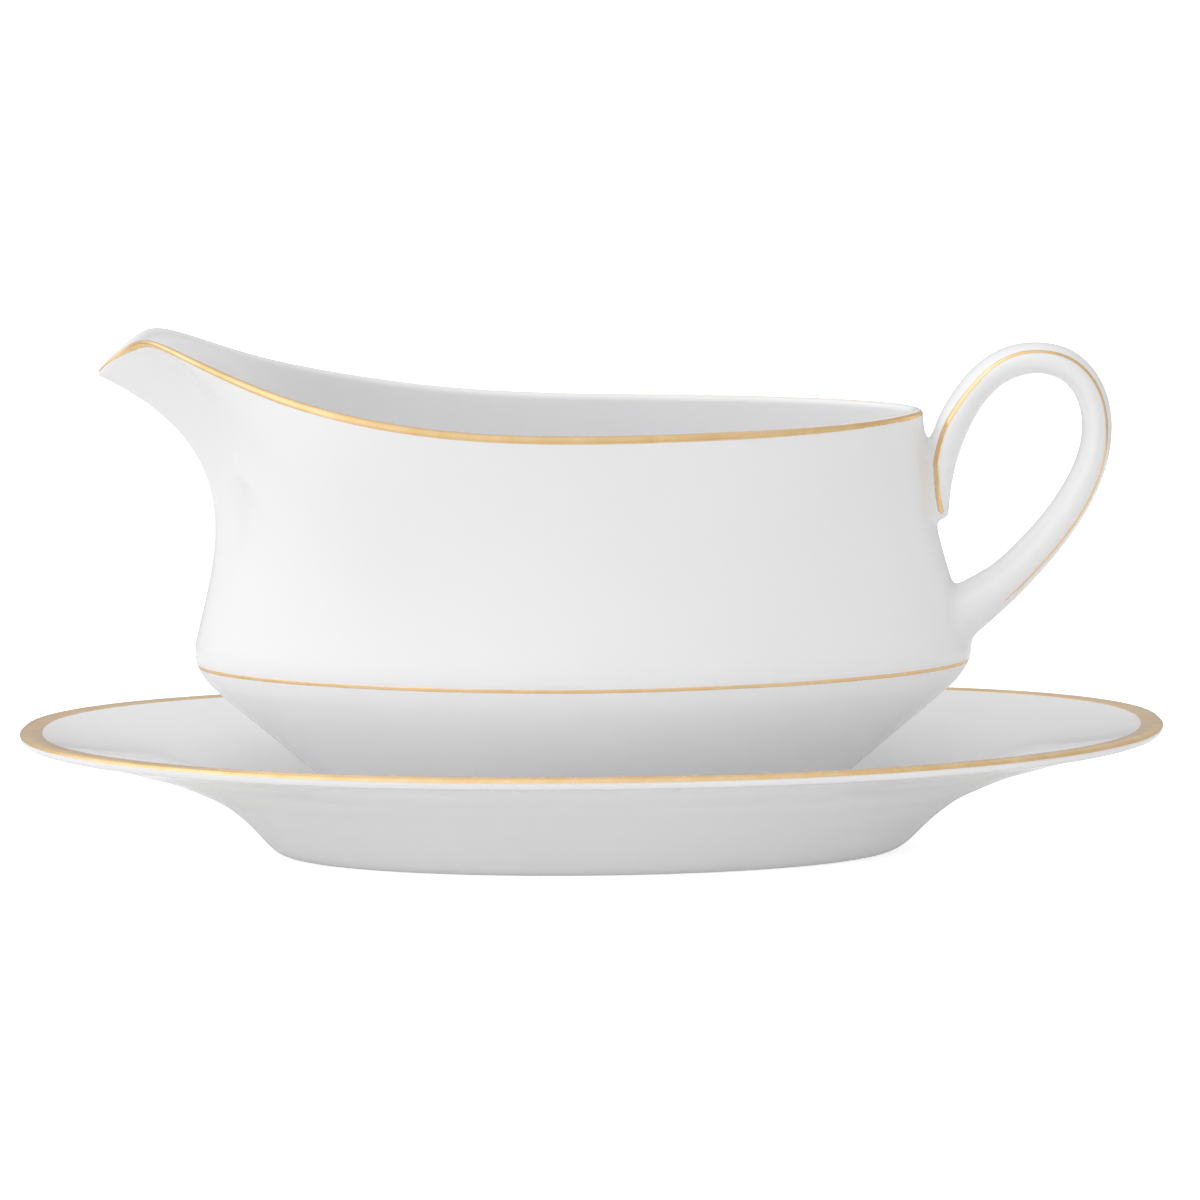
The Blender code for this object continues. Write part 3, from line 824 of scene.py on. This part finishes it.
def make_porcelain(name):
    """White hard porcelain under a clear, faintly uneven glaze."""
    material, tree, shader = start_material(name)
    colour = add_ramp(tree, add_noise(tree, 28.0, 3.0), GLAZE_TONES)
    tree.links.new(colour, shader.inputs["Base Color"])
    breath = add_noise(tree, 55.0, 2.0)
    roughness = add_range(tree, breath, 0.3, 0.7, 0.06, 0.10)
    tree.links.new(roughness, shader.inputs["Roughness"])
    wave = add_bump(tree, add_noise(tree, 90.0, 1.0), 0.00006)
    skin = add_bump(tree, add_noise(tree, 900.0, 2.0), 0.000004, before=wave)
    tree.links.new(skin, shader.inputs["Normal"])
    shader.inputs["IOR"].default_value = 1.52
    shader.inputs["Subsurface Weight"].default_value = 0.12
    shader.inputs["Subsurface Radius"].default_value = (1.0, 0.95, 0.9)
    shader.inputs["Subsurface Scale"].default_value = 0.0012
    return material


def make_gold(name):
    """Thin bright gold, fired on by brush: streaks along the line and a faint grain."""
    material, tree, shader = start_material(name)
    streak = add_noise(tree, 180.0, 3.0)
    tree.links.new(add_ramp(tree, streak, GOLD_TONES), shader.inputs["Base Color"])
    wear = add_noise(tree, 420.0, 4.0)
    tree.links.new(add_range(tree, wear, 0.3, 0.7, 0.16, 0.30), shader.inputs["Roughness"])
    tree.links.new(add_bump(tree, add_noise(tree, 2400.0, 2.0), 0.000006),
                   shader.inputs["Normal"])
    shader.inputs["Metallic"].default_value = 1.0
    return material


# ---------------------------------------------------------------- studio

# Floor and table, in metres, with how strongly each glows.
FLOOR_SIZE = 30.0
FLOOR_GLOW = 0.6
TABLE_RADIUS = 0.45
TABLE_DROP = 0.0002
TABLE_GLOW = 0.13

# Softboxes round the object: direction turned from the camera towards +X, degrees above the
# table, how tightly the light gathers, and its brightness. The last one is a dark flag.
STUDIO_LIGHTS = [
    (0, 90, 4.0, 0.10), (-90, 50, 4.0, 0.80), (0, 50, 4.0, 0.20), (180, 50, 4.0, 0.10),
    (-90, 10, 4.0, 0.20), (-45, 10, 4.0, 0.55), (0, 10, 4.0, 0.10), (45, 10, 4.0, 0.10),
    (90, 10, 4.0, 0.15), (180, 10, 4.0, 0.10), (180, -7, 30.0, -0.30),
]
STUDIO_FILL = 0.50
STUDIO_COLOUR = (1.0, 0.997, 1.0, 1.0)

# Camera: its distance and aim are in metres, its lens and sensor in millimetres.
CAMERA_DISTANCE = 3.0
CAMERA_ELEVATION = math.radians(7.54)
CAMERA_ROLL = math.radians(-0.51)
CAMERA_AIM = Vector((0.00199, 0.0, 0.052))
CAMERA_LENS = 438.5
SENSOR_WIDTH = 36.0


def make_floor():
    """White glowing floor that only the camera sees."""
    bpy.ops.mesh.primitive_plane_add(size=FLOOR_SIZE)
    floor = bpy.context.object
    floor.name = "floor"
    material, tree, shader = start_material("studio_floor")
    colour = add_ramp(tree, add_noise(tree, 3.0, 2.0), FLOOR_TONES)
    tree.links.new(colour, shader.inputs["Base Color"])
    shader.inputs["Roughness"].default_value = 0.9
    shader.inputs["Specular IOR Level"].default_value = 0.0
    shader.inputs["Emission Color"].default_value = (1, 1, 1, 1)
    shader.inputs["Emission Strength"].default_value = FLOOR_GLOW
    floor.data.materials.append(material)
    floor.visible_diffuse = False
    floor.visible_glossy = False
    floor.visible_shadow = False


def make_table():
    """White table top that bounces light up; the camera sees the glowing floor instead."""
    bpy.ops.mesh.primitive_circle_add(radius=TABLE_RADIUS, vertices=96, fill_type="NGON")
    table = bpy.context.object
    table.name = "table"
    material, tree, shader = start_material("studio_table")
    colour = add_ramp(tree, add_noise(tree, 5.0, 2.0), TABLE_TONES)
    tree.links.new(colour, shader.inputs["Base Color"])
    shader.inputs["Roughness"].default_value = 0.8
    shader.inputs["Emission Color"].default_value = (1, 1, 1, 1)
    shader.inputs["Emission Strength"].default_value = TABLE_GLOW
    table.data.materials.append(material)
    table.location.z = -TABLE_DROP
    table.visible_camera = False


def add_maths(tree, operation, first, second, third=0.0):
    """Result of a maths node over sockets or plain numbers."""
    node = tree.nodes.new("ShaderNodeMath")
    node.operation = operation
    for socket, value in zip(node.inputs, (first, second, third)):
        if isinstance(value, float):
            socket.default_value = value
        else:
            tree.links.new(value, socket)
    return node.outputs["Value"]


def make_studio():
    """World lit by the softboxes, each brightest in its own direction."""
    world = bpy.data.worlds.new("studio")
    world.use_nodes = True
    tree = world.node_tree
    place = tree.nodes.new("ShaderNodeTexCoord")
    total = STUDIO_FILL
    for turn, rise, sharpness, brightness in STUDIO_LIGHTS:
        turn, rise = math.radians(turn), math.radians(rise)
        facing = tree.nodes.new("ShaderNodeVectorMath")
        facing.operation = "DOT_PRODUCT"
        facing.inputs[1].default_value = (math.sin(turn) * math.cos(rise),
                                          -math.cos(turn) * math.cos(rise), math.sin(rise))
        tree.links.new(place.outputs["Generated"], facing.inputs[0])
        ahead = add_maths(tree, "MAXIMUM", facing.outputs["Value"], 0.0)
        glow = add_maths(tree, "POWER", ahead, sharpness)
        total = add_maths(tree, "MULTIPLY_ADD", glow, brightness, total)
    total = add_maths(tree, "MAXIMUM", total, 0.0)
    background = tree.nodes["Background"]
    tree.links.new(total, background.inputs["Strength"])
    background.inputs["Color"].default_value = STUDIO_COLOUR
    scene = bpy.context.scene
    scene.world = world
    scene.view_settings.view_transform = "Standard"


def make_camera():
    """Camera at the photo's angle, aimed at the middle of the object."""
    data = bpy.data.cameras.new("camera")
    data.lens = CAMERA_LENS
    data.sensor_width = SENSOR_WIDTH
    data.clip_end = 100.0
    camera = bpy.data.objects.new("camera", data)
    back = Vector((0, -math.cos(CAMERA_ELEVATION), math.sin(CAMERA_ELEVATION)))
    camera.location = CAMERA_AIM + back * CAMERA_DISTANCE
    camera.rotation_mode = "QUATERNION"
    roll = Quaternion((0, 0, 1), CAMERA_ROLL)
    camera.rotation_quaternion = (-back).to_track_quat("-Z", "Y") @ roll
    bpy.context.scene.collection.objects.link(camera)
    bpy.context.scene.camera = camera


def main():
    """Builds every piece and then the studio round them."""
    porcelain, gold = make_porcelain("white_porcelain"), make_gold("fired_gold")
    make_stand(porcelain, gold)
    half = make_boat(porcelain, gold)
    field, strap = make_handle(half, porcelain)
    make_handle_line("handle_gold_line_left", 1, field, strap, gold)
    make_handle_line("handle_gold_line_right", -1, field, strap, gold)
    make_floor()
    make_table()
    make_studio()
    make_camera()


main()
